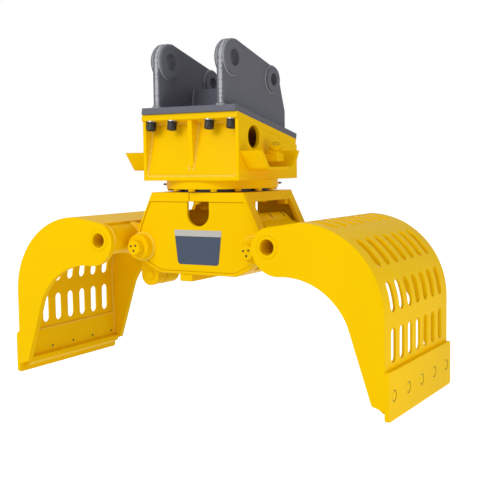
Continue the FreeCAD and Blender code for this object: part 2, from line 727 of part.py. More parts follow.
back_start_x = tube_x - 18.0
line_slope = (bz + br - (tube_z + head_r - 2)) / (bx - (tube_x - 6))
back_start_z = tube_z + head_r - 2 + (back_start_x - (tube_x - 6)) * line_slope
bi = br - back_plate_thickness
back_steps = [
    (back_reach, lower_plate_top), (back_reach, bz),
    ((bx + br * root_half, bz + br * root_half), (bx, bz + br)),
    (back_start_x, back_start_z), (back_start_x + 2, back_start_z - back_plate_thickness),
    (bx, bz + bi), ((bx + bi * root_half, bz + bi * root_half), (bx + bi, bz)),
    (back_reach - back_plate_thickness, lower_plate_top)]
pipe_r = torsion_pipe_diameter / 2
back_blank = plate_y(back_steps, -cheek_inner, cheek_inner)
back_blank = back_blank.cut(rod_y(tube_x, tube_z, pipe_r, -half_width, half_width))
back = back_blank

# slot rows as angles round the back's centre, the lowest row on the straight part
slot_rows_straight = [(back_centre_z - 158.0, back_centre_z - 37.0)]
slot_rows_curved = [(3.0, 22.5), (32.0, 55.0), (69.0, 88.0)]


def slot_cutters(y):
    r = slot_width / 2
    cutters = []
    for z0, z1 in slot_rows_straight:
        cutters += [box(back_reach - 40, back_reach + 10, y - r, y + r, z0 + r, z1 - r),
                    rod_x(y, z0 + r, r, back_reach - 40, back_reach + 10),
                    rod_x(y, z1 - r, r, back_reach - 40, back_reach + 10)]
    for low, high in slot_rows_curved:
        end = math.degrees(r / br)
        near, far = br - 40, br + 10
        turns = [math.radians(t) for t in (low + end, (low + high) / 2, high - end)]
        (a0, b0), (am, bm), (a1, b1) = [(math.cos(t), math.sin(t)) for t in turns]
        cutters.append(plate_y([(bx + near * a0, bz + near * b0),
                                ((bx + near * am, bz + near * bm), (bx + near * a1, bz + near * b1)),
                                (bx + far * a1, bz + far * b1),
                                ((bx + far * am, bz + far * bm), (bx + far * a0, bz + far * b0))],
                               y - r, y + r))
        for angle in (low + end, high - end):
            a = math.radians(angle)
            foot = V(bx + (br - 40) * math.cos(a), y, bz + (br - 40) * math.sin(a))
            cutters.append(Part.makeCylinder(r, 50, foot, V(math.cos(a), 0, math.sin(a))))
    return cutters


slots = []
for i in range(slot_count):
    slots += slot_cutters((i - (slot_count - 1) / 2) * slot_pitch)
back = back.cut(slots)
keep("right_shell_back_plate", back)
keep("left_shell_back_plate", mirrored(back))

lower_x = back_reach - lower_plate_thickness
bolt_places = [((i - (edge_bolt_count - 1) / 2) * edge_bolt_pitch, edge_bolt_height)
               for i in range(edge_bolt_count)]
lip_top = 66.0
lip_inner = lower_x - 22.0
lower_plate = plate_y([(back_reach, 22.0), (back_reach, lower_plate_top), (lower_x, lower_plate_top),
                       (lower_x, lip_top), (lip_inner, lip_top - 6), (lip_inner, lip_top - 26),
                       (lower_x + 2, 22.0)],
                      -cheek_inner, cheek_inner)
for y, z in bolt_places:
    lower_plate = lower_plate.cut(rod_x(y, z, edge_bolt_diameter / 2, lip_inner - 1, back_reach + 1))
keep("right_shell_lower_plate", lower_plate)
keep("left_shell_lower_plate", mirrored(lower_plate))

edge = box(back_reach, back_reach + edge_thickness, -half_width, half_width, 0, edge_height)
round_edges = [e for e in edge.Edges if abs(e.BoundBox.XLength - edge_thickness) < 0.01]
edge = edge.makeFillet(edge_corner, round_edges)
for y, z in bolt_places:
    edge = edge.cut(rod_x(y, z, edge_bolt_diameter / 2, back_reach - 1, back_reach + edge_thickness + 1))
    edge = edge.cut(rod_x(y, z, edge_bolt_head_diameter / 2 + edge_bolt_gap,
                          back_reach + edge_thickness - edge_bolt_recess, back_reach + edge_thickness + 1))
keep("right_shell_cutting_edge", edge)
keep("left_shell_cutting_edge", mirrored(edge))

edge_bolts = []
for y, z in bolt_places:
    seat = back_reach + edge_thickness - edge_bolt_recess
    piece = rod_x(y, z, edge_bolt_diameter / 2, lower_x, seat).fuse(
        rod_x(y, z, edge_bolt_head_diameter / 2, seat, seat + edge_bolt_recess - 1)).removeSplitter()
    edge_bolts.append(piece)
keep("right_shell_edge_bolts", group(edge_bolts))
keep("left_shell_edge_bolts", group([mirrored(b) for b in edge_bolts]))

# Torsion pipe between the cheeks, on a sleeve that comes through them
tube = tube_y(tube_x, tube_z, tube_outer_diameter / 2, tube_bore / 2,
              -half_width - tube_proud, half_width + tube_proud)
tube = tube.makeChamfer(3.0, [e for e in tube.Edges if circular(e, tube_outer_diameter / 2)
                              and abs(abs(e.CenterOfMass.y) - half_width - tube_proud) < 0.01])
pipe = tube_y(tube_x, tube_z, pipe_r, pipe_r - torsion_pipe_wall, -cheek_inner, cheek_inner)
disc = tube_y(tube_x, tube_z, pipe_r - 1, tube_outer_diameter / 2 - 1, -cheek_inner, -cheek_inner + 12)
tube = tube.fuse([pipe, disc, mirrored_y(disc)]).removeSplitter()
keep("right_shell_tube", tube)
keep("left_shell_tube", mirrored(tube))

# Inner arms: plates round the pivot, the cylinder pin and the tube
cx, cz, cb = cylinder_pin_x, cylinder_pin_z, cylinder_boss_radius
arm_tube_r = pipe_r + 6.5


def arm_blank(y0, y1):
    shape = hull_of_circles((px, pz, arm_pivot_radius), (cx, cz, cb), y0, y1)
    shape = shape.fuse([hull_of_circles((px, pz, arm_pivot_radius), (tube_x, tube_z, arm_tube_r), y0, y1),
                        plate_y([(cx + 14, cz + cb - 2), (cx + cb - 2, cz + 10), (px + 10, tube_z + 61),
                                 (tube_x - 18, tube_z + head_r - 18), (tube_x, tube_z), (px, pz),
                                 (cx, cz)], y0, y1)])
    return shape.removeSplitter().cut(back_blank)


def arm_bores(shape, with_cylinder=True):
    shape = shape.cut(rod_y(px, pz, hub_diameter / 2, -half_width, half_width))
    if with_cylinder:
        shape = shape.cut(rod_y(cx, cz, cylinder_pin_diameter / 2, -half_width, half_width))
    return shape.cut(rod_y(tube_x, tube_z, pipe_r, -half_width, half_width))


low = (-tie_low_x, tie_low_z)
lug_r = tie_boss_radius
front_blank = arm_blank(-arm_outer, -arm_inner)
plain_arm = arm_bores(front_blank)
left_arm = arm_bores(front_blank.fuse(hull_of_circles((px, pz, arm_pivot_radius), (low[0], low[1], lug_r),
                                                      -arm_outer, -arm_inner)).removeSplitter())
left_arm = left_arm.cut(rod_y(low[0], low[1], tie_pin_diameter / 2, -half_width, half_width))
high = (tie_high_x, tie_high_z)
right_arm = front_blank.fuse([hull_of_circles((px, pz, arm_pivot_radius - 6),
                                              (high[0], high[1], tie_eye_radius),
                                              -arm_outer, -arm_inner),
                              hull_of_circles((cx, cz, cb - 4), (high[0], high[1], tie_eye_radius),
                                              -arm_outer, -arm_inner)]).removeSplitter()
right_arm = arm_bores(right_arm, False)
right_arm = right_arm.cut(rod_y(high[0], high[1], tie_pin_diameter / 2, -half_width, half_width))
eye_half = cylinder_eye_width / 2
spacer = tube_y(cx, cz, cb - 6, cylinder_pin_diameter / 2, -arm_inner, -eye_half - side_gap)
rear_arm = mirrored_y(plain_arm.fuse(spacer).removeSplitter())
keep("right_shell_front_arm", right_arm)
keep("right_shell_rear_arm", rear_arm)
keep("left_shell_front_arm", mirrored(left_arm.fuse(spacer).removeSplitter()))
keep("left_shell_rear_arm", mirrored(rear_arm))

# Second lug of each tie rod end, beside the cylinder
lug_outer = tie_plane + tie_rod_diameter / 2 + side_gap
lug_inner = lug_outer + tie_lug_thickness
tail = 15.0
left_lug = hull_of_circles((px, pz, arm_pivot_radius), (low[0], low[1], lug_r), lug_outer, lug_inner)
left_lug = left_lug.fuse(rod_y(low[0], low[1], lug_r, lug_outer, tail)).removeSplitter()
left_lug = left_lug.cut([rod_y(px, pz, hub_diameter / 2, -half_width, half_width),
                         rod_y(low[0], low[1], tie_pin_diameter / 2, -half_width, half_width)])
keep("left_shell_tie_lug", mirrored(left_lug))
right_lug = hull_of_circles((px, pz, arm_pivot_radius), (high[0], high[1], tie_eye_radius),
                            lug_outer, lug_inner)
right_lug = right_lug.fuse(hull_of_circles((px, pz, arm_pivot_radius), (cx, cz, cb - 4),
                                           lug_outer, lug_inner))
right_lug = right_lug.cut([rod_y(px, pz, hub_diameter / 2, -half_width, half_width),
                           rod_y(cx, cz, cylinder_pin_diameter / 2, -half_width, half_width),
                           rod_y(high[0], high[1], tie_pin_diameter / 2, -half_width, half_width)])
pin_ends = [rod_y(high[0], high[1], tie_pin_diameter / 2, -arm_outer - 4, -arm_inner),
            rod_y(high[0], high[1], tie_pin_diameter / 2, lug_outer, lug_inner)]
short_spacer = tube_y(cx, cz, cb - 6, cylinder_pin_diameter / 2, lug_inner, -eye_half - side_gap)
keep("right_shell_tie_lug", group([right_lug.fuse(short_spacer).removeSplitter()] + pin_ends))

# Hubs with bronze bushes on the pivot pin, apart in the middle so that the barrel passes between them
hub_end = flange_inner - 8.0
bush_r = pivot_pin_diameter / 2 + running_clearance
hub_gap = cylinder_bore / 2 + barrel_wall + 8
hub = tube_y(px, pz, hub_diameter / 2, bush_r + bush_wall, -hub_end, -hub_gap)
bush = tube_y(px, pz, bush_r + bush_wall, bush_r, -hub_end, -hub_gap)
hubs = [hub, bush, mirrored_y(hub), mirrored_y(bush)]
keep("right_shell_hub", group(hubs))
keep("left_shell_hub", group([mirrored(piece) for piece in hubs]))

# Curved cover over the neck, between the arms
cover_r, cover_thickness = cb + 2.0, 5.0
cover_in = cover_r - cover_thickness
cover_end = math.radians(125.0)
start_cos, start_sin = math.cos(math.radians(20.0)), math.sin(math.radians(20.0))
mid_cos, mid_sin = math.cos(math.radians(72.5)), math.sin(math.radians(72.5))
end_cos, end_sin = math.cos(cover_end), math.sin(cover_end)
cover_steps = [
    (cx + cover_r * end_cos, cz + cover_r * end_sin),
    ((cx + cover_r * mid_cos, cz + cover_r * mid_sin),
     (cx + cover_r * start_cos, cz + cover_r * start_sin)),
    (px + 10, tube_z + 60), (tube_x - 44, tube_z + 56),
    (back_start_x + 2, back_start_z - back_plate_thickness),
    (back_start_x + 1, back_start_z - back_plate_thickness - cover_thickness),
    (tube_x - 44, tube_z + 56 - cover_thickness), (px + 9, tube_z + 60 - cover_thickness),
    (cx + cover_in * start_cos, cz + cover_in * start_sin),
    ((cx + cover_in * mid_cos, cz + cover_in * mid_sin),
     (cx + cover_in * end_cos, cz + cover_in * end_sin))]
cover = plate_y(cover_steps, -arm_inner, arm_inner)
cover = cover.cut(rod_y(tube_x, tube_z, pipe_r, -arm_inner - 1, arm_inner + 1))
# narrow slots where the cover is welded to what lies under it
for y in (10 - arm_inner, 0.0, arm_inner - 10):
    across = box(-12, 12, y - 4, y + 4, cover_in - 6, cover_r + 12)
    slot_way = (math.cos(math.radians(52)), 0, math.sin(math.radians(52)))
    cover = cover.cut(placed(across, slot_way, (cx, 0, cz)))
keep("right_shell_neck_cover", cover.cut(right_lug))
keep("left_shell_neck_cover", mirrored(cover))


# Hydraulic cylinder: barrel on the left shell's pin, rod on the right shell's pin

eye_r = 36.0
pin_run = cylinder_pin_diameter / 2 + running_clearance
barrel_start = -cx + eye_r
barrel_end = cx - eye_r - 8.0
bore_start = barrel_start + 18.0
barrel_r = cylinder_bore / 2 + barrel_wall
barrel = rod_x(0, cz, barrel_r, barrel_start, barrel_end)
barrel = barrel.cut(rod_x(0, cz, cylinder_bore / 2, bore_start, barrel_end + 1))
base_eye = rod_y(-cx, cz, eye_r, -eye_half, eye_half)
barrel = barrel.fuse([base_eye, box(-cx, barrel_start + 2, -eye_half, eye_half, cz - 22, cz + 22)])
barrel = barrel.removeSplitter().cut(rod_y(-cx, cz, pin_run, -eye_half - 1, eye_half + 1))
ports = []
for x in (barrel_start + 32, barrel_end - 30):
    ports.append(box(x - 14, x + 14, barrel_r - 12, barrel_r + 8, cz - 14, cz + 14).cut(
        rod_x(0, cz, barrel_r, barrel_start - 1, barrel_end + 1)))
keep("cylinder_barrel", barrel.fuse(ports).removeSplitter())
gland = rod_x(0, cz, cylinder_bore / 2, barrel_end - gland_length + 8, barrel_end + 0).fuse(
    rod_x(0, cz, barrel_r, barrel_end, barrel_end + 8)).removeSplitter()
gland = gland.cut(rod_x(0, cz, rod_diameter / 2 + running_clearance, barrel_start, barrel_end + 20))
keep("cylinder_gland", gland)
piston_start = bore_start + 4
piston = rod_x(0, cz, cylinder_bore / 2 - running_clearance, piston_start, piston_start + piston_length)
rod_eye = rod_y(cx, cz, eye_r - 4, -eye_half, eye_half)
shank = rod_x(0, cz, rod_diameter / 2, piston_start + piston_length, cx - 20)
cyl_rod = piston.fuse([shank, rod_eye]).removeSplitter()
cyl_rod = cyl_rod.cut(rod_y(cx, cz, pin_run, -eye_half - 1, eye_half + 1))
keep("cylinder_rod", cyl_rod)
keep("left_shell_cylinder_pin", rod_y(-cx, cz, cylinder_pin_diameter / 2, -arm_outer, arm_outer))
# on the right it ends in the lug, so that the tie rod's eye has room beside it
keep("right_shell_cylinder_pin", rod_y(cx, cz, cylinder_pin_diameter / 2, lug_outer, arm_outer))


# Tie rod from the left shell's lower lug to the right shell's upper lug

tp, tr = tie_plane, tie_rod_diameter / 2
tie_run = tie_pin_diameter / 2 + running_clearance
tie_axis = (tie_high_x - tie_low_x, 0, tie_high_z - tie_low_z)
tie_length = math.hypot(tie_axis[0], tie_axis[2])
bar = placed(rod_z(0, 0, tr - 2, 0, tie_length), tie_axis, (tie_low_x, tp, tie_low_z))
bar = bar.fuse([rod_y(tie_low_x, tie_low_z, tie_boss_radius - 2, tp - tr, tp + tr),
                rod_y(tie_high_x, tie_high_z, tie_eye_radius, tp - tr, tp + tr)]).removeSplitter()
bar = bar.cut([rod_y(tie_low_x, tie_low_z, tie_run, tp - tr - 1, tp + tr + 1),
               rod_y(tie_high_x, tie_high_z, tie_pin_diameter / 2, tp - tr - 1, tp + tr + 1)])
keep("tie_rod", group([bar, rod_y(tie_high_x, tie_high_z, tie_pin_diameter / 2, tp - tr, tp + tr)]))
keep("tie_pin", rod_y(tie_low_x, tie_low_z, tie_pin_diameter / 2, -arm_outer - 4, tail))


# Export

os.makedirs("parts", exist_ok=True)
for name, shape in parts.items():
    solids = shape.Solids
    part = solids[0] if len(solids) == 1 else Part.makeCompound(solids)
    part.exportStep(os.path.join("parts", name + ".step"))
    print(name, len(solids), "%.0f" % (part.Volume / 1000), "ok" if part.isValid() else "INVALID")
print(len(parts), "nodes, tie rod", round(tie_length, 1), "low", round(tie_low_x, 1), round(tie_low_z, 1),
      "high", round(tie_high_x, 1), round(tie_high_z, 1))
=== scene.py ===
"""Looks of a hydraulic sorting grapple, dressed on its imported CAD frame."""

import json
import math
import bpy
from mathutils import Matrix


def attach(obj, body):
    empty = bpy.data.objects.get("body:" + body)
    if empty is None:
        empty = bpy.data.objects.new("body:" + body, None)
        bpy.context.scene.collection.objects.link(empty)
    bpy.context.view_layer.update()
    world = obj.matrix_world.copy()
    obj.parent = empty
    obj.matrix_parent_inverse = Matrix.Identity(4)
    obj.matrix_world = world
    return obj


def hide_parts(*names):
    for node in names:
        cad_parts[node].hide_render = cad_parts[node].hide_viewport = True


bl_info = {
    "name": "Sorting grapple",
    "version": (1, 0, 0),
    "blender": (4, 5, 0),
    "location": "View3D > Sidebar > Grapple",
    "description": "Paint, welds, fasteners and bare plate of a sorting grapple, with its studio stage",
    "category": "Object",
}

import bmesh
import bpy
from mathutils import Matrix, Vector

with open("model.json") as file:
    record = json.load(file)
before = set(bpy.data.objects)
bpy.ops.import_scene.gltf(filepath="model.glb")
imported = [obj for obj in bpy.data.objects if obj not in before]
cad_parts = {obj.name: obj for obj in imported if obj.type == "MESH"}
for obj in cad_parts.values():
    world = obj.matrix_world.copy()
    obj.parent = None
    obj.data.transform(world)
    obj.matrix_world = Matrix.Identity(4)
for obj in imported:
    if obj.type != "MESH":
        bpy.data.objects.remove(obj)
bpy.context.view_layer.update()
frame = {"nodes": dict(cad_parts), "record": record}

TILT = math.radians(11.6)       # the mounting face falls towards the rear
MOUNT_Z = 1.0485                # its upper face on the slew axis
BODY_FACE_Y = -0.196            # face of the body inside its rim
PIVOT_X, PIVOT_Z = 0.260, 0.550  # pivot pins of the shells, to either side of the slew axis
TUBE_X, TUBE_Z = 0.384, 0.579    # tube through the right shell


# Settings that a user would change

class GrapplePaint(bpy.types.PropertyGroup):
    body_colour: bpy.props.StringProperty(
        name="Body colour", description="Enamel of the housing, body and shells, sRGB hex", default="FFCE00")
    adapter_colour: bpy.props.StringProperty(
        name="Adapter colour", description="Enamel of the ears and their plate, sRGB hex", default="70717A")
    edge_round: bpy.props.FloatProperty(
        name="Edge rounding", description="Radius that the paint gives a cut edge",
        default=0.0022, min=0.0, max=0.01, unit="LENGTH")
    peel: bpy.props.FloatProperty(
        name="Orange peel", description="Size of the ripple in the sprayed enamel",
        default=0.006, min=0.001, max=0.05, unit="LENGTH")


class GrappleWelds(bpy.types.PropertyGroup):
    bead: bpy.props.FloatProperty(
        name="Bead radius", description="Radius of a fillet weld's bead",
        default=0.0048, min=0.001, max=0.02, unit="LENGTH")
    ripple_pitch: bpy.props.FloatProperty(
        name="Ripple pitch", description="Distance between the ripples of a bead",
        default=0.013, min=0.002, max=0.03, unit="LENGTH")
    ripple: bpy.props.FloatProperty(
        name="Ripple depth", description="Share of the radius that the ripples take",
        default=0.30, min=0.0, max=0.6, subtype="FACTOR")


class GrappleFasteners(bpy.types.PropertyGroup):
    head_radius: bpy.props.FloatProperty(
        name="Cap screw head", description="Radius of the black heads under the flange",
        default=0.0185, min=0.005, max=0.04, unit="LENGTH")
    head_height: bpy.props.FloatProperty(
        name="Cap screw height", description="Height of the black heads under the flange",
        default=0.034, min=0.005, max=0.08, unit="LENGTH")
    pin_screws: bpy.props.IntProperty(
        name="Screws per pin cap", description="Screws that hold each pivot pin's cap", default=3,
        min=3, max=12)


class GrapplePlate(bpy.types.PropertyGroup):
    panel_colour: bpy.props.StringProperty(
        name="Panel colour", description="Slate film of the bare panel, sRGB hex", default="34435A")
    strip_colour: bpy.props.StringProperty(
        name="Strip colour", description="Pale strip over the panel, sRGB hex", default="BFBFB9")
    thickness: bpy.props.FloatProperty(
        name="Film thickness", description="How far the film stands off the end plate",
        default=0.0010, min=0.0002, max=0.005, unit="LENGTH")


class GrappleStage(bpy.types.PropertyGroup):
    key_power: bpy.props.FloatProperty(
        name="Key light", description="Power of the large soft light at the front left",
        default=96.0, min=0.0,
        unit="POWER")
    world_strength: bpy.props.FloatProperty(
        name="Surround light", description="Strength of the even white surround", default=0.58, min=0.0)
    floor_lift: bpy.props.FloatProperty(
        name="Floor lift",
        description="Light added to the floor for the camera alone, so that it meets the white "
        "surround and keeps its shadow", default=0.6, min=0.0, max=1.0)
    floor_colour: bpy.props.StringProperty(
        name="Floor colour", description="Plain pale floor, sRGB hex", default="FFFFFF")
    floor_height: bpy.props.FloatProperty(
        name="Floor height",
        description="Height of the floor below the open blades, which the closing shells need",
        default=-0.26, max=0.0, unit="LENGTH")


# Helpers

def linear(hex_colour):
    """sRGB hex to linear RGBA."""
    parts = [int(hex_colour[i:i + 2], 16) / 255 for i in (0, 2, 4)]
    return [c / 12.92 if c <= 0.04045 else ((c + 0.055) / 1.055) ** 2.4 for c in parts] + [1.0]


def add(tree, kind, settings=None, inputs=None):
    """One node with its settings, input values and links."""
    made = tree.nodes.new(kind)
    for key, value in (settings or {}).items():
        setattr(made, key, value)
    for key, value in (inputs or {}).items():
        if isinstance(value, bpy.types.NodeSocket):
            tree.links.new(value, made.inputs[key])
        else:
            made.inputs[key].default_value = value
    return made


def on_mount(x, v, w):
    """From the mounting face's own flat frame to its tilted place."""
    return Vector((x, v * math.cos(TILT) + w * math.sin(TILT),
                   MOUNT_Z - v * math.sin(TILT) + w * math.cos(TILT)))


def link(name, data):
    """A new object for the data, linked into the scene."""
    piece = bpy.data.objects.new(name, data)
    bpy.context.scene.collection.objects.link(piece)
    return piece


def smooth(mesh, angle=35.0):
    """Smooth shading, with edges that turn by more than the angle in degrees kept sharp."""
    mesh.polygons.foreach_set("use_smooth", [True] * len(mesh.polygons))
    mesh.set_sharp_from_angle(angle=math.radians(angle))


def applied(piece):
    """The piece's evaluated shape as a plain mesh in its place, its modifiers gone."""
    graph = bpy.context.evaluated_depsgraph_get()
    graph.update()
    mesh = bpy.data.meshes.new_from_object(piece.evaluated_get(graph))
    name = piece.name
    bpy.data.objects.remove(piece)
    mesh.name = name
    smooth(mesh)
    return link(name, mesh)


def grown(base, tree, **inputs):
    """Run a Geometry Nodes tree on the base object with its named inputs."""
    modifier = base.modifiers.new("nodes", "NODES")
    modifier.node_group = tree
    for item in tree.interface.items_tree:
        if item.item_type == "SOCKET" and item.in_out == "INPUT" and item.name in inputs:
            modifier[item.identifier] = inputs[item.name]
    return applied(base)


# Materials, each named for its finish or for the painted light or shade it stands for

def enamel(name, hex_colour, depth=1.0):
    """Sprayed enamel on welded plate: a gloss coat over a faint orange peel, slightly uneven in tone,
    its cut edges softened by the paint."""
    settings = bpy.context.scene.grapple_paint
    material = bpy.data.materials.new(name)
    material.use_nodes = True
    tree = material.node_tree
    shader = tree.nodes["Principled BSDF"]
    place = add(tree, "ShaderNodeTexCoord").outputs["Object"]
    tone = add(tree, "ShaderNodeTexNoise", inputs={"Vector": place, "Scale": 1 / 0.35, "Detail": 3.0})
    dark = [c * (1 - 0.10 * depth) for c in linear(hex_colour)[:3]] + [1.0]
    colour = add(tree, "ShaderNodeMix", {"data_type": "RGBA"},
                 {"Factor": tone.outputs["Fac"], "A": dark, "B": linear(hex_colour)})
    rough = add(tree, "ShaderNodeMapRange",
                inputs={"Value": tone.outputs["Fac"], "To Min": 0.30, "To Max": 0.42})
    peel = add(tree, "ShaderNodeTexNoise",
               inputs={"Vector": place, "Scale": 1 / settings.peel, "Detail": 2.0})
    edges = add(tree, "ShaderNodeBevel", {"samples": 6}, {"Radius": settings.edge_round})
    bump = add(tree, "ShaderNodeBump", inputs={"Strength": 0.05, "Distance": 0.001,
                                                "Height": peel.outputs["Fac"],
                                                "Normal": edges.outputs["Normal"]})
    for socket, source in (("Base Color", colour.outputs["Result"]), ("Roughness", rough.outputs["Result"]),
                           ("Normal", bump.outputs["Normal"])):
        tree.links.new(source, shader.inputs[socket])
    shader.inputs["IOR"].default_value = 1.5
    shader.inputs["Specular IOR Level"].default_value = 0.01
    shader.inputs["Coat Weight"].default_value = 0.04
    shader.inputs["Coat Roughness"].default_value = 0.2
    return material


def bare_metal(name, hex_colour, roughness, grain, along=(1.0, 1.0, 1.0), metallic=1.0):
    """Machined, plated or blackened steel: fine marks at the given grain, drawn out along one direction."""
    material = bpy.data.materials.new(name)
    material.use_nodes = True
    tree = material.node_tree
    shader = tree.nodes["Principled BSDF"]
    place = add(tree, "ShaderNodeTexCoord").outputs["Object"]
    drawn = add(tree, "ShaderNodeMapping", inputs={"Vector": place, "Scale": along})
    marks = add(tree, "ShaderNodeTexNoise", inputs={"Vector": drawn.outputs["Vector"], "Scale": 1 / grain,
                                                     "Detail": 4.0})
    rough = add(tree, "ShaderNodeMapRange",
                inputs={"Value": marks.outputs["Fac"], "To Min": roughness * 0.75, "To Max": roughness * 1.3})
    shade = add(tree, "ShaderNodeMix", {"data_type": "RGBA"},
                {"Factor": marks.outputs["Fac"], "A": [c * 0.8 for c in linear(hex_colour)[:3]] + [1.0],
                 "B": linear(hex_colour)})
    edges = add(tree, "ShaderNodeBevel", {"samples": 4}, {"Radius": 0.001})
    bump = add(tree, "ShaderNodeBump", inputs={"Strength": 0.08, "Distance": 0.0005,
                                                "Height": marks.outputs["Fac"],
                                                "Normal": edges.outputs["Normal"]})
    for socket, source in (("Base Color", shade.outputs["Result"]), ("Roughness", rough.outputs["Result"]),
                           ("Normal", bump.outputs["Normal"])):
        tree.links.new(source, shader.inputs[socket])
    shader.inputs["Metallic"].default_value = metallic
    return material


def film(name, hex_colour, roughness):
    """Printed vinyl film: an even colour with a faint fleck and a soft sheen."""
    material = bpy.data.materials.new(name)
    material.use_nodes = True
    tree = material.node_tree
    shader = tree.nodes["Principled BSDF"]
    place = add(tree, "ShaderNodeTexCoord").outputs["Object"]
    fleck = add(tree, "ShaderNodeTexNoise", inputs={"Vector": place, "Scale": 1 / 0.02, "Detail": 3.0})
    shade = add(tree, "ShaderNodeMix", {"data_type": "RGBA"},
                {"Factor": fleck.outputs["Fac"], "A": [c * 0.88 for c in linear(hex_colour)[:3]] + [1.0],
                 "B": linear(hex_colour)})
    tree.links.new(shade.outputs["Result"], shader.inputs["Base Color"])
    shader.inputs["Roughness"].default_value = roughness
    return material


def finishes():
    """Every finish once, by the record's material slot or by the piece it is for."""
    if not bpy.data.materials.get("yellow_enamel"):
        paint, plate = bpy.context.scene.grapple_paint, bpy.context.scene.grapple_plate
        # Sprayed enamel on steel: one clear, even colour under a soft, wide highlight
        enamel("yellow_enamel", paint.body_colour)
        # Sprayed primer grey on the adapter: even and matt beside the yellow
        enamel("grey_enamel", paint.adapter_colour, 1.5)
        # Painted highlight on the adapter's beads: a lighter grey than the plate, so that their ripples show
        enamel("grey_weld", "9A9BA1", 1.5)
        # Painted highlight along the ears' flame-cut edges: a pale, rough line round the ears, lighter than
        # the grey
        enamel("cut_edge", "B9BABF", 2.0)
        # Painted highlight on the beads: a paler yellow than the plate, where they stand up from it into the
        # light
        enamel("yellow_weld", "FFD848", 0.6)
        # Painted shade: a darker yellow for the narrow corner along the rim and for the rings on the plug
        # ends
        enamel("yellow_seam", "C98F00", 1.0)
        # Enamel on the motor: black with a faint highlight
        enamel("black_enamel", "1D1D1F", 1.0)
        # Blackened cap screws: nearly black, without a metal shine; also painted shade in the gaps round the
        # edge bolts and in the cover slots
        bare_metal("blackened_steel", "111113", 0.5, 0.004, metallic=0.0)
        # Machined steel under oil: dark, with a broad sheen
        bare_metal("machined_steel", "45423C", 0.42, 0.005)
        # Ground pins: bright, with fine streaks one way
        bare_metal("ground_pin_steel", "A9A9A6", 0.28, 0.003, (1.0, 0.1, 1.0))
        # Zinc plating on small fittings: pale and softly mirrored
        bare_metal("zinc_plated_steel", "B9BBBD", 0.32, 0.004)
        # Hard chrome on the piston rod: a bright, clear mirror
        bare_metal("chromed_rod", "D9DBDD", 0.10, 0.006)
        # Film without its print: flat and dark, without grain
        film("slate_film", plate.panel_colour, 0.42)
        # The pale strip of the film: flat and light
        film("pale_film", plate.strip_colour, 0.40)
    return bpy.data.materials


NODE_FINISH = {"slew_ring_upper_bolts": "yellow_enamel", "slew_ring_lower_bolts": "yellow_enamel"}
SLOT_FINISH = {
    "yellow_paint": "yellow_enamel", "grey_paint": "grey_enamel", "black_bolts": "blackened_steel",
    "dark_steel": "machined_steel", "motor_paint": "black_enamel", "pin_steel": "ground_pin_steel",
    "edge_bolts": "yellow_enamel", "chromed_rod": "chromed_rod",
}


class GRAPPLE_OT_paint(bpy.types.Operator):
    """Give every CAD node the finish of its material slot"""
    bl_idname = "grapple.paint"
    bl_label = "Paint the CAD nodes"

    def execute(self, context):
        materials = finishes()
        for part in frame["record"]["subparts"]:
            node = frame["nodes"][part["node"]]
            finish = materials[NODE_FINISH.get(part["node"], SLOT_FINISH[part["material_slot"]])]
            if not node.data.materials:
                node.data.materials.append(finish)
            for i in range(len(node.data.materials)):
                node.data.materials[i] = finish
        return {"FINISHED"}


# Weld beads

def weld_tree():
    """A round bead along each spline, its radius rippled, ending in realised mesh."""
    tree = bpy.data.node_groups.get("weld_bead")
    if tree:
        return tree
    tree = bpy.data.node_groups.new("weld_bead", "GeometryNodeTree")
    face = tree.interface
    face.new_socket("Geometry", in_out="INPUT", socket_type="NodeSocketGeometry")
    for name in ("Bead Radius", "Ripple Pitch", "Ripple Depth"):
        face.new_socket(name, in_out="INPUT", socket_type="NodeSocketFloat")
    face.new_socket("Finish", in_out="INPUT", socket_type="NodeSocketMaterial")
    face.new_socket("Geometry", in_out="OUTPUT", socket_type="NodeSocketGeometry")
    given = add(tree, "NodeGroupInput").outputs
    step = add(tree, "ShaderNodeMath", {"operation": "DIVIDE"}, {0: given["Ripple Pitch"], 1: 2.0})
    points = add(tree, "GeometryNodeResampleCurve", {"mode": "LENGTH"},
                 {"Curve": given["Geometry"], "Length": step.outputs[0]})
    index = add(tree, "GeometryNodeInputIndex")
    odd = add(tree, "ShaderNodeMath", {"operation": "MODULO"}, {0: index.outputs[0], 1: 2.0})
    wander = add(tree, "FunctionNodeRandomValue", {"data_type": "FLOAT"},
                 {"Min": 0.9, "Max": 1.1, "Seed": 7})
    dip = add(tree, "ShaderNodeMath", {"operation": "MULTIPLY"},
              {0: odd.outputs[0], 1: given["Ripple Depth"]})
    full = add(tree, "ShaderNodeMath", {"operation": "SUBTRACT"},
               {0: wander.outputs["Value"], 1: dip.outputs[0]})
    radius = add(tree, "ShaderNodeMath", {"operation": "MULTIPLY"},
                 {0: full.outputs[0], 1: given["Bead Radius"]})
    sized = add(tree, "GeometryNodeSetCurveRadius",
                inputs={"Curve": points.outputs[0], "Radius": radius.outputs[0]})
    profile = add(tree, "GeometryNodeCurvePrimitiveCircle", inputs={"Resolution": 7, "Radius": 1.0})
    mesh = add(tree, "GeometryNodeCurveToMesh",
               inputs={"Curve": sized.outputs[0], "Profile Curve": profile.outputs[0],
                                                         "Fill Caps": True})
    if "Scale" in mesh.inputs:
        tree.links.new(radius.outputs[0], mesh.inputs["Scale"])
    real = add(tree, "GeometryNodeRealizeInstances", inputs={"Geometry": mesh.outputs[0]})
    shaded = add(tree, "GeometryNodeSetMaterial",
                 inputs={"Geometry": real.outputs[0], "Material": given["Finish"]})
    add(tree, "NodeGroupOutput", inputs={"Geometry": shaded.outputs[0]})
    return tree


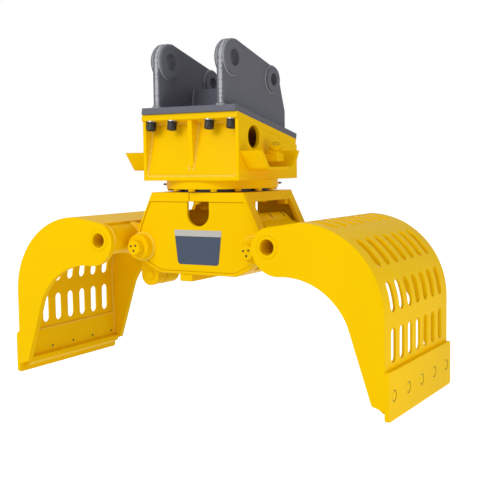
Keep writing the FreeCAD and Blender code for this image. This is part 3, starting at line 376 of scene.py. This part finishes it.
def circle(centre, axis, radius, start=0.0, end=360.0, steps=48):
    """Points round a circle in metres; a full turn closes."""
    axis = Vector(axis).normalized()
    side = axis.orthogonal().normalized()
    if abs(axis.y) > 0.9:
        side = Vector((1, 0, 0))
    up = axis.cross(side)
    full = end - start >= 360.0
    count = max(3, int(steps * (end - start) / 360.0))
    turns = [math.radians(start + (end - start) * i / count) for i in range(count if full else count + 1)]
    return [Vector(centre) + radius * (math.cos(t) * side + math.sin(t) * up) for t in turns], full


def line(*points):
    """An open path through the points."""
    return [Vector(p) for p in points], False


def mirror_x(path):
    """The same path on the other side of x = 0."""
    points, closed = path
    return [Vector((-p.x, p.y, p.z)) for p in points], closed


def mirror_y(path):
    """The same path on the other side of y = 0."""
    points, closed = path
    return [Vector((p.x, -p.y, p.z)) for p in points], closed


def weld(name, paths, body, finish, size=1.0, depth=1.0):
    """Rippled beads along the paths, as one piece on the body; size and depth are factors."""
    welds = bpy.context.scene.grapple_welds
    curve = bpy.data.curves.new(name, "CURVE")
    curve.dimensions = "3D"
    for points, closed in paths:
        spline = curve.splines.new("POLY")
        spline.points.add(len(points) - 1)
        spline.points.foreach_set("co", [c for p in points for c in (p.x, p.y, p.z, 1.0)])
        spline.use_cyclic_u = closed
    piece = grown(link(name, curve), weld_tree(), **{
        "Bead Radius": welds.bead * size, "Ripple Pitch": welds.ripple_pitch,
        "Ripple Depth": welds.ripple * depth, "Finish": finishes()[finish]})
    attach(piece, body)
    return piece


class GRAPPLE_OT_adapter_welds(bpy.types.Operator):
    """Beads round the ring bosses and along the feet of the grey ears"""
    bl_idname = "grapple.adapter_welds"
    bl_label = "Welds of the adapter"

    def execute(self, context):
        paths = []
        for x in (0.132, 0.160):
            for y, z, radius in ((-0.175, 1.277, 0.0655), (0.131, 1.215, 0.0525)):
                paths.append(circle((x, y, z), (1, 0, 0), radius))
            paths.append(line(on_mount(x, -0.246, 0.001), on_mount(x, 0.246, 0.001)))
        paths.append(line(on_mount(0.130, -0.2475, 0.002), on_mount(0.162, -0.2475, 0.002)))
        for v in (-0.026, -0.006):
            paths.append(line(on_mount(0, v, 0.001), on_mount(0.131, v, 0.001), on_mount(0.131, v, 0.130)))
        paths += [mirror_x(path) for path in paths]
        weld("adapter_welds", paths, "head", "grey_weld", 1.3)

        # the front edges of the ears: painted highlight, a pale rough line along the flame-cut edges, lighter
        # than their sides
        head_y, head_z, sunk = -0.1689, 1.277, 0.0625
        edge = [Vector((0.146, head_y - sunk, 1.106))] + [
            Vector((0.146, head_y + sunk * math.cos(math.radians(a)),
                    head_z + sunk * math.sin(math.radians(a))))
            for a in range(180, 119, -10)]
        edge = (edge, False)
        weld("ear_edges", [edge, mirror_x(edge)], "head", "cut_edge", 2.6, 0.12)
        return {"FINISHED"}


class GRAPPLE_OT_housing_welds(bpy.types.Operator):
    """Beads in the corners of the upper housing"""
    bl_idname = "grapple.housing_welds"
    bl_label = "Welds of the housing"

    def execute(self, context):
        top = on_mount(0, -0.19, -0.048)
        foot_y, foot_z, top_y, top_z = -0.2285, 0.8305, -0.1835, top.z
        paths = [line((0.2045, foot_y, foot_z), (0.2045, top_y, top_z)),
                 line((0.0105, foot_y + 0.008, foot_z + 0.024), (0.0105, top_y, top_z)),
                 line((0.0, foot_y, foot_z), (0.2045, foot_y, foot_z)),
                 line((0.0105, top_y, top_z), (0.2045, top_y, top_z))]
        paths += [mirror_x(path) for path in paths]
        weld("housing_welds", paths, "head", "yellow_weld", 1.7)
        return {"FINISHED"}


class GRAPPLE_OT_body_welds(bpy.types.Operator):
    """Beads round the pivot bosses and under the belly plate, and painted shade along the rims of the end
    plates
    """
    bl_idname = "grapple.body_welds"
    bl_label = "Welds of the lower body"

    def execute(self, context):
        paths = [circle((PIVOT_X, BODY_FACE_Y - 0.001, PIVOT_Z), (0, 1, 0), 0.0550)]
        for x in (-0.0845, -0.0275):
            paths.append(line((x, -0.150, 0.446), (x, 0.0, 0.446)))
        paths += [mirror_y(path) for path in paths]
        paths.append(mirror_x(paths[0]))
        paths.append(mirror_x(mirror_y(paths[0])))
        weld("body_welds", paths, "body", "yellow_weld", 1.2)
        # Painted shade: darker yellow lines in the corner along the rims of the front and rear plates, and a
        # dark seam line at x = -0.030
        y = BODY_FACE_Y - 0.0010
        rim_shade_paths = [line((0.2185, y, 0.732), (0.2654, y, 0.632), (0.2735, y, 0.6045)),
                line((0.2445, y, 0.4974), (0.2230, y, 0.482), (0.1694, y, 0.458), (0.0, y, 0.458)),
                line((0.0600, y, 0.7315), (0.2185, y, 0.7315))]
        rim_shade_paths += [mirror_x(path) for path in rim_shade_paths[:2]]
        rim_shade_paths.append(line((-0.0440, y, 0.7315), (-0.2185, y, 0.7315)))
        rim_shade_paths.append(line((-0.030, y - 0.0022, 0.7345), (-0.030, y - 0.0022, 0.7665)))
        rim_shade_paths += [mirror_y(path) for path in rim_shade_paths]
        weld("body_rim_lines", rim_shade_paths, "body", "yellow_seam", 0.40)
        return {"FINISHED"}


def shell_weld_paths():
    """Centre lines of the right shell's beads, on both of its cheeks."""
    back_x, back_z, back_radius, cheek_y = 0.510, 0.349, 0.3115, 0.2995
    paths = []
    for y in (0.300, 0.135, 0.110):
        paths.append(circle((TUBE_X, y, TUBE_Z), (0, 1, 0), 0.0622))
    arc = [Vector((back_x + back_radius * math.cos(math.radians(a)), cheek_y,
                   back_z + back_radius * math.sin(math.radians(a))))
           for a in range(0, 91, 3)]
    paths.append(([Vector((0.8215, cheek_y, 0.168))] + arc, False))
    paths.append(line((0.8150, 0.2990, 0.070), (0.8150, 0.2990, 0.168), (0.8215, 0.2990, 0.300)))
    paths.append(line((0.8195, 0.0, 0.1668), (0.8195, 0.299, 0.1668)))
    paths += [mirror_y(path) for path in paths]
    return paths


class GRAPPLE_OT_shell_welds(bpy.types.Operator):
    """Beads at the tubes, arms and inner corners of both shells"""
    bl_idname = "grapple.shell_welds"
    bl_label = "Welds of the shells"

    def execute(self, context):
        paths = shell_weld_paths()
        sleeves = [circle((TUBE_X, y, TUBE_Z), (0, 1, 0), 0.0418) for y in (-0.325, 0.325)]
        weld("right_shell_sleeve_welds", sleeves, "right_shell", "yellow_enamel", 0.5)
        weld("left_shell_sleeve_welds", [mirror_x(path) for path in sleeves], "left_shell",
             "yellow_enamel", 0.5)
        weld("right_shell_welds", paths, "right_shell", "yellow_weld", 1.3)
        weld("left_shell_welds", [mirror_x(path) for path in paths], "left_shell",
             "yellow_weld",
             1.3)
        return {"FINISHED"}


# Fasteners

def fastener_tree():
    """A template on every point, turned to the point's axis, ending in realised mesh."""
    tree = bpy.data.node_groups.get("fasteners_on_points")
    if tree:
        return tree
    tree = bpy.data.node_groups.new("fasteners_on_points", "GeometryNodeTree")
    face = tree.interface
    face.new_socket("Geometry", in_out="INPUT", socket_type="NodeSocketGeometry")
    face.new_socket("Template", in_out="INPUT", socket_type="NodeSocketObject")
    face.new_socket("Scale", in_out="INPUT", socket_type="NodeSocketFloat")
    face.new_socket("Finish", in_out="INPUT", socket_type="NodeSocketMaterial")
    face.new_socket("Geometry", in_out="OUTPUT", socket_type="NodeSocketGeometry")
    given = add(tree, "NodeGroupInput").outputs
    axis = add(tree, "GeometryNodeInputNamedAttribute", {"data_type": "FLOAT_VECTOR"}, {"Name": "axis"})
    turn = add(tree, "FunctionNodeAlignRotationToVector", {"axis": "Z"},
               {"Vector": axis.outputs["Attribute"]})
    model = add(tree, "GeometryNodeObjectInfo", inputs={"Object": given["Template"]})
    placed = add(tree, "GeometryNodeInstanceOnPoints", inputs={
        "Points": given["Geometry"], "Instance": model.outputs["Geometry"],
        "Rotation": turn.outputs["Rotation"], "Scale": given["Scale"]})
    real = add(tree, "GeometryNodeRealizeInstances", inputs={"Geometry": placed.outputs[0]})
    shaded = add(tree, "GeometryNodeSetMaterial",
                 inputs={"Geometry": real.outputs[0], "Material": given["Finish"]})
    add(tree, "NodeGroupOutput", inputs={"Geometry": shaded.outputs[0]})
    return tree


def lathed(name, profile, sides=24):
    """Closed turned shape from (radius, height) pairs, with the given count of sides."""
    mesh = bpy.data.meshes.new(name)
    work = bmesh.new()
    rings = []
    for radius, height in profile:
        if radius < 1e-6:
            rings.append([work.verts.new((0, 0, height))])
        else:
            rings.append([work.verts.new((radius * math.cos(2 * math.pi * i / sides),
                                          radius * math.sin(2 * math.pi * i / sides), height))
                                          for i in range(sides)])
    for low, high in zip(rings, rings[1:]):
        for i in range(sides):
            j = (i + 1) % sides
            corners = [low[i % len(low)], low[j % len(low)], high[j % len(high)], high[i % len(high)]]
            unique = []
            for corner in corners:
                if corner not in unique:
                    unique.append(corner)
            if len(unique) > 2:
                work.faces.new(unique)
    bmesh.ops.recalc_face_normals(work, faces=work.faces)
    work.to_mesh(mesh)
    work.free()
    return link(name, mesh)


def fasteners(name, template, places, finish):
    """Places are (point, axis) pairs in metres."""
    mesh = bpy.data.meshes.new(name)
    mesh.from_pydata([tuple(point) for point, axis in places], [], [])
    held = mesh.attributes.new("axis", "FLOAT_VECTOR", "POINT")
    held.data.foreach_set("vector", [c for point, axis in places for c in axis])
    return grown(link(name, mesh), fastener_tree(), Template=template, Scale=1.0, Finish=finishes()[finish])


class GRAPPLE_OT_adapter_bolts(bpy.types.Operator):
    """Cap screws from below with their washers"""
    bl_idname = "grapple.adapter_bolts"
    bl_label = "Bolts of the adapter"

    def execute(self, context):
        sizes = context.scene.grapple_fasteners
        spots = [(side * x, end * 0.217) for side in (-1, 1) for end in (-1, 1) for x in (0.0855, 0.1835)]
        down = (on_mount(0, 0, -1) - on_mount(0, 0, 0)).normalized()
        under = [(on_mount(x, v, -0.048), down) for x, v in spots]
        r, h = sizes.head_radius, sizes.head_height
        washer = lathed("washer_template", [(0.0, 0.0), (0.0215, 0.0), (0.0215, 0.0035),
                                      (0.0205, 0.004), (0.0, 0.004)])
        head = lathed("head_template", [
            (0.0, 0.0041), (r - 0.001, 0.0041), (r, 0.006), (r, h - 0.001),
            (r - 0.002, h + 0.001), (0.0115, h + 0.001),
            (0.0108, h), (0.0108, h - 0.012), (0.0, h - 0.012)], 28)
        washers = fasteners("adapter_washers", washer, under, "zinc_plated_steel")
        heads = fasteners("adapter_screw_heads", head, under, "blackened_steel")
        for piece in (washers, heads):
            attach(piece, "head")
            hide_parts("adapter_bolts")
        for template in (washer, head):
            bpy.data.objects.remove(template)
        return {"FINISHED"}


class GRAPPLE_OT_pin_screws(bpy.types.Operator):
    """Small cap screws on the four pivot pin caps"""
    bl_idname = "grapple.pin_screws"
    bl_label = "Screws of the pin caps"

    def execute(self, context):
        count = context.scene.grapple_fasteners.pin_screws
        places = []
        for side in (-1, 1):
            for end in (-1, 1):
                for i in range(count):
                    turn = 2 * math.pi * (i + 0.3) / count
                    point = Vector((side * PIVOT_X + 0.0130 * math.cos(turn), end * 0.2600,
                                    PIVOT_Z + 0.0130 * math.sin(turn)))
                    places.append((point, (0.0, float(end), 0.0)))
        screw = lathed("screw_template", [(0.0, 0.0), (0.0036, 0.0), (0.0036, 0.0040),
                                         (0.0030, 0.0048), (0.0018, 0.0048),
                                          (0.0016, 0.0020), (0.0, 0.0020)], 14)
        piece = fasteners("pin_cap_screws", screw, places, "blackened_steel")
        bpy.data.objects.remove(screw)
        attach(piece, "body")
        return {"FINISHED"}


class GRAPPLE_OT_edge_bolts(bpy.types.Operator):
    """Painted shade: a dark ring in the gap round each cutting-edge bolt's head, and a dark disc at its end
    on the lower plate's inner face
    """
    bl_idname = "grapple.edge_bolts"
    bl_label = "Painted gap shade and ends of the edge bolts"

    def execute(self, context):
        # painted shade: dark rings in the gaps round the bolt heads
        gap_shade_ring = lathed("seat_template", [(0.0171, 0.0), (0.0204, 0.0),
                                       (0.0204, 0.0064), (0.0171, 0.0064), (0.0171, 0.0)])
        end = lathed("end_template", [(0.0, 0.0), (0.0046, 0.0), (0.0046, 0.0014),
                                     (0.0036, 0.0022), (0.0, 0.0022)], 16)
        for body, side in (("right_shell", 1.0), ("left_shell", -1.0)):
            rows = [(0.137 * i, 0.084) for i in range(-2, 3)]
            gap_shade_rings = [(Vector((side * 0.8392, y, z)), (side, 0.0, 0.0)) for y, z in rows]
            ends = [(Vector((side * 0.8152, y, z)), (-side, 0.0, 0.0)) for y, z in rows]
            for piece in (fasteners(body + "_bolt_seats", gap_shade_ring, gap_shade_rings, "blackened_steel"),
                          fasteners(body + "_bolt_ends", end, ends, "blackened_steel")):
                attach(piece, body)
        for template in (gap_shade_ring, end):
            bpy.data.objects.remove(template)
        return {"FINISHED"}


class GRAPPLE_OT_cover_slot_shade(bpy.types.Operator):
    """Painted shade: dark blocks in the narrow slots of the neck covers"""
    bl_idname = "grapple.cover_slots"
    bl_label = "Painted shade in the cover slots"

    def execute(self, context):
        turn = math.radians(52.0)
        for body, side in (("right_shell", 1.0), ("left_shell", -1.0)):
            outward = Vector((side * math.cos(turn), 0.0, math.sin(turn)))
            along = Vector((0.0, 1.0, 0.0)).cross(outward)
            work = bmesh.new()
            for y in (-0.100, 0.0, 0.100):
                centre = Vector((side * 0.196, y, 0.640)) + 0.0392 * outward
                place = Matrix((along * 0.0232, (0.0, 0.0076, 0.0), outward * 0.0036)).transposed().to_4x4()
                bmesh.ops.create_cube(work, size=1.0, matrix=Matrix.Translation(centre) @ place)
            bmesh.ops.recalc_face_normals(work, faces=work.faces)
            mesh = bpy.data.meshes.new(body + "_cover_slots")
            work.to_mesh(mesh)
            work.free()
            mesh.materials.append(finishes()["blackened_steel"])
            piece = link(body + "_cover_slots", mesh)
            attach(piece, body)
        return {"FINISHED"}


class GRAPPLE_OT_port_shade_rings(bpy.types.Operator):
    """Round shadow line on the ends of both hydraulic plugs"""
    bl_idname = "grapple.port_sockets"
    bl_label = "Shade rings of the port plugs"

    def execute(self, context):
        places = []
        for side in (-1.0, 1.0):
            axis = Vector((side * 0.35, -0.35, 0.87)).normalized()
            places.append((Vector((side * 0.251, -0.022, 0.900)) + 0.0599 * axis, axis))
        socket = lathed("socket_template", [(0.0100, 0.0), (0.0130, 0.0), (0.0130, 0.0008), (0.0100, 0.0008),
                                            (0.0100, 0.0)])
        piece = fasteners("port_plug_sockets", socket, places, "yellow_seam")
        bpy.data.objects.remove(socket)
        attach(piece, "head")
        return {"FINISHED"}


class GRAPPLE_OT_grease_nipples(bpy.types.Operator):
    """Dark grease nipples on both sides of the slewing ring"""
    bl_idname = "grapple.grease_nipples"
    bl_label = "Grease nipples"

    def execute(self, context):
        places = []
        for turn in (30.0, 210.0):
            outward = Vector((math.cos(math.radians(turn)), math.sin(math.radians(turn)), 0.0))
            places.append((outward * 0.2298 + Vector((0, 0, 0.798)), outward))
        nipple = lathed("nipple_template", [(0.0, 0.0), (0.0048, 0.0), (0.0048, 0.0030),
                                         (0.0030, 0.0036), (0.0030, 0.0060),
                                            (0.0036, 0.0075), (0.0026, 0.0095), (0.0, 0.0100)], 14)
        piece = fasteners("grease_nipples", nipple, places, "blackened_steel")
        bpy.data.objects.remove(nipple)
        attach(piece, "head")
        return {"FINISHED"}


# Bare plate on the front of the body

def film_piece(name, corners, radii, finish):
    """Flat film with rounded corners on the front end plate; corners are (x, z) in order."""
    thickness = bpy.context.scene.grapple_plate.thickness
    y_back = BODY_FACE_Y
    outline = []
    count = len(corners)
    for i, (corner, radius) in enumerate(zip(corners, radii)):
        here = Vector(corner)
        before, after = Vector(corners[i - 1]) - here, Vector(corners[(i + 1) % count]) - here
        if radius < 1e-5:
            outline.append(here)
            continue
        half = before.angle(after) / 2
        reach = radius / math.tan(half)
        start, end = here + before.normalized() * reach, here + after.normalized() * reach
        centre = here + (before.normalized() + after.normalized()).normalized() * (radius / math.sin(half))
        for k in range(7):
            t = k / 6
            outline.append(centre + ((start - centre) * (1 - t) + (end - centre) * t).normalized() * radius)
    mesh = bpy.data.meshes.new(name)
    work = bmesh.new()
    face = work.faces.new([work.verts.new((p.x, y_back - thickness, p.y)) for p in outline])
    if face.normal.y > 0:
        face.normal_flip()
    made = bmesh.ops.extrude_face_region(work, geom=[face])
    bmesh.ops.translate(work, vec=(0, thickness, 0),
                        verts=[v for v in made["geom"] if isinstance(v, bmesh.types.BMVert)])
    bmesh.ops.recalc_face_normals(work, faces=work.faces)
    work.to_mesh(mesh)
    work.free()
    piece = link(name, mesh)
    mesh.materials.append(finishes()[finish])
    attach(piece, "body")
    return piece


class GRAPPLE_OT_bare_plate(bpy.types.Operator):
    """Bare slate panel and pale strip on the front of the body"""
    bl_idname = "grapple.bare_plate"
    bl_label = "Bare panel"

    def execute(self, context):
        film_piece("bare_panel", [(-0.1015, 0.5965), (0.1115, 0.5965), (0.0990, 0.4860), (-0.0890, 0.4860)],
                   [0.0, 0.0, 0.014, 0.014], "slate_film")
        film_piece("bare_strip", [(-0.1040, 0.6210), (0.1130, 0.6210), (0.1125, 0.5970), (-0.1025, 0.5970)],
                   [0.002, 0.002, 0.0, 0.0], "pale_film")
        return {"FINISHED"}


# Stage

def seen_white(tree):
    """1 for the rays of the camera and for those of mirrored and clear surfaces, else 0."""
    path = add(tree, "ShaderNodeLightPath").outputs
    mirrored = add(tree, "ShaderNodeMath", {"operation": "ADD"},
                   {0: path["Is Glossy Ray"], 1: path["Is Transmission Ray"]})
    return add(tree, "ShaderNodeMath", {"operation": "ADD", "use_clamp": True},
               {0: path["Is Camera Ray"], 1: mirrored.outputs[0]}).outputs[0]


class GRAPPLE_OT_stage(bpy.types.Operator):
    """Camera at the photograph's angle, plain pale floor and soft lights"""
    bl_idname = "grapple.stage"
    bl_label = "Stage"

    def execute(self, context):
        settings = context.scene.grapple_stage
        scene = context.scene
        yaw, pitch, roll = math.radians(30.80), math.radians(4.79), math.radians(-0.766)
        forward = Vector((-math.sin(yaw) * math.cos(pitch), math.cos(yaw) * math.cos(pitch),
                          -math.sin(pitch)))
        right = Vector((math.cos(yaw), math.sin(yaw), 0.0))
        up = right.cross(forward)
        right, up = (math.cos(roll) * right + math.sin(roll) * up,
                     -math.sin(roll) * right + math.cos(roll) * up)
        camera = bpy.data.cameras.new("camera")
        camera.sensor_width, camera.lens = 36.0, 69.54
        camera.clip_end = 60.0
        eye = link("camera", camera)
        eye.matrix_world = Matrix.Translation((1.9889, -3.2030, 0.8827)) @ Matrix(
            (right, up, -forward)).transposed().to_4x4()
        scene.camera = eye

        floor_mesh = bpy.data.meshes.new("floor")
        corners = [(x, y, settings.floor_height) for x, y in ((-30, -30), (30, -30), (30, 30), (-30, 30))]
        floor_mesh.from_pydata(corners, [], [(0, 1, 2, 3)])
        floor = link("floor", floor_mesh)
        matt = bpy.data.materials.new("pale_floor")
        matt.use_nodes = True
        shader = matt.node_tree.nodes["Principled BSDF"]
        shader.inputs["Base Color"].default_value = linear(settings.floor_colour)
        shader.inputs["Roughness"].default_value = 0.9
        shader.inputs["Specular IOR Level"].default_value = 0.0
        lift = add(matt.node_tree, "ShaderNodeMath", {"operation": "MULTIPLY"},
                   {0: seen_white(matt.node_tree), 1: settings.floor_lift})
        glow = add(matt.node_tree, "ShaderNodeEmission",
               inputs={"Color": (1, 1, 1, 1), "Strength": lift.outputs[0]})
        both = add(matt.node_tree, "ShaderNodeAddShader", inputs={0: shader.outputs[0], 1: glow.outputs[0]})
        matt.node_tree.links.new(both.outputs[0], matt.node_tree.nodes["Material Output"].inputs["Surface"])
        floor_mesh.materials.append(matt)

        world = scene.world or bpy.data.worlds.new("surround")
        scene.world = world
        world.use_nodes = True
        tree = world.node_tree
        tree.nodes.clear()
        seen = add(tree, "ShaderNodeBackground", inputs={"Color": (1, 1, 1, 1), "Strength": 1.0})
        light = add(tree, "ShaderNodeBackground",
                inputs={"Color": (1, 1, 1, 1), "Strength": settings.world_strength})
        mix = add(tree, "ShaderNodeMixShader", inputs={0: seen_white(tree), 1: light.outputs[0],
                                                        2: seen.outputs[0]})
        add(tree, "ShaderNodeOutputWorld", inputs={"Surface": mix.outputs[0]})

        for name, place, size, power in (("key", (-1.2, -4.2, 3.2), 2.6, settings.key_power),
                                         ("fill", (2.8, -0.8, 0.15), 1.0, settings.key_power * 0.13)):
            lamp = bpy.data.lights.new(name, "AREA")
            lamp.shape, lamp.size, lamp.energy = "DISK", size, power
            stand = link(name, lamp)
            aim = Vector((0.0, 0.0, 0.65)) - Vector(place)
            stand.matrix_world = Matrix.Translation(place) @ aim.to_track_quat("-Z", "Y").to_matrix().to_4x4()
        scene.view_settings.view_transform = "Standard"
        return {"FINISHED"}


class GRAPPLE_PT_panel(bpy.types.Panel):
    """Settings and steps of the sorting grapple"""
    bl_idname = "GRAPPLE_PT_panel"
    bl_label = "Sorting grapple"
    bl_space_type = "VIEW_3D"
    bl_region_type = "UI"
    bl_category = "Grapple"

    def draw(self, context):
        for key in SETTINGS:
            group = getattr(context.scene, key)
            box = self.layout.box()
            for name in type(group).__annotations__:
                box.prop(group, name)
        for step in STEPS:
            self.layout.operator(step.bl_idname)


SETTINGS = {"grapple_paint": GrapplePaint, "grapple_welds": GrappleWelds,
            "grapple_fasteners": GrappleFasteners,
            "grapple_plate": GrapplePlate, "grapple_stage": GrappleStage}
STEPS = (GRAPPLE_OT_stage, GRAPPLE_OT_paint, GRAPPLE_OT_adapter_welds, GRAPPLE_OT_housing_welds,
         GRAPPLE_OT_body_welds, GRAPPLE_OT_shell_welds, GRAPPLE_OT_adapter_bolts, GRAPPLE_OT_pin_screws,
         GRAPPLE_OT_edge_bolts, GRAPPLE_OT_cover_slot_shade, GRAPPLE_OT_port_shade_rings,
         GRAPPLE_OT_grease_nipples, GRAPPLE_OT_bare_plate)


def register():
    """Make the settings, the steps and the panel known to Blender."""
    for kind in (*SETTINGS.values(), *STEPS, GRAPPLE_PT_panel):
        bpy.utils.register_class(kind)
    for key, kind in SETTINGS.items():
        setattr(bpy.types.Scene, key, bpy.props.PointerProperty(type=kind))


def unregister():
    """Take them out again, in reverse order."""
    for key in SETTINGS:
        delattr(bpy.types.Scene, key)
    for kind in reversed((*SETTINGS.values(), *STEPS, GRAPPLE_PT_panel)):
        bpy.utils.unregister_class(kind)


def main():
    register()
    for step in STEPS:
        section, call = step.bl_idname.split(".")
        if "FINISHED" not in getattr(getattr(bpy.ops, section), call)():
            raise RuntimeError(step.bl_label + " didn't finish")


if __name__ == "__main__":
    main()
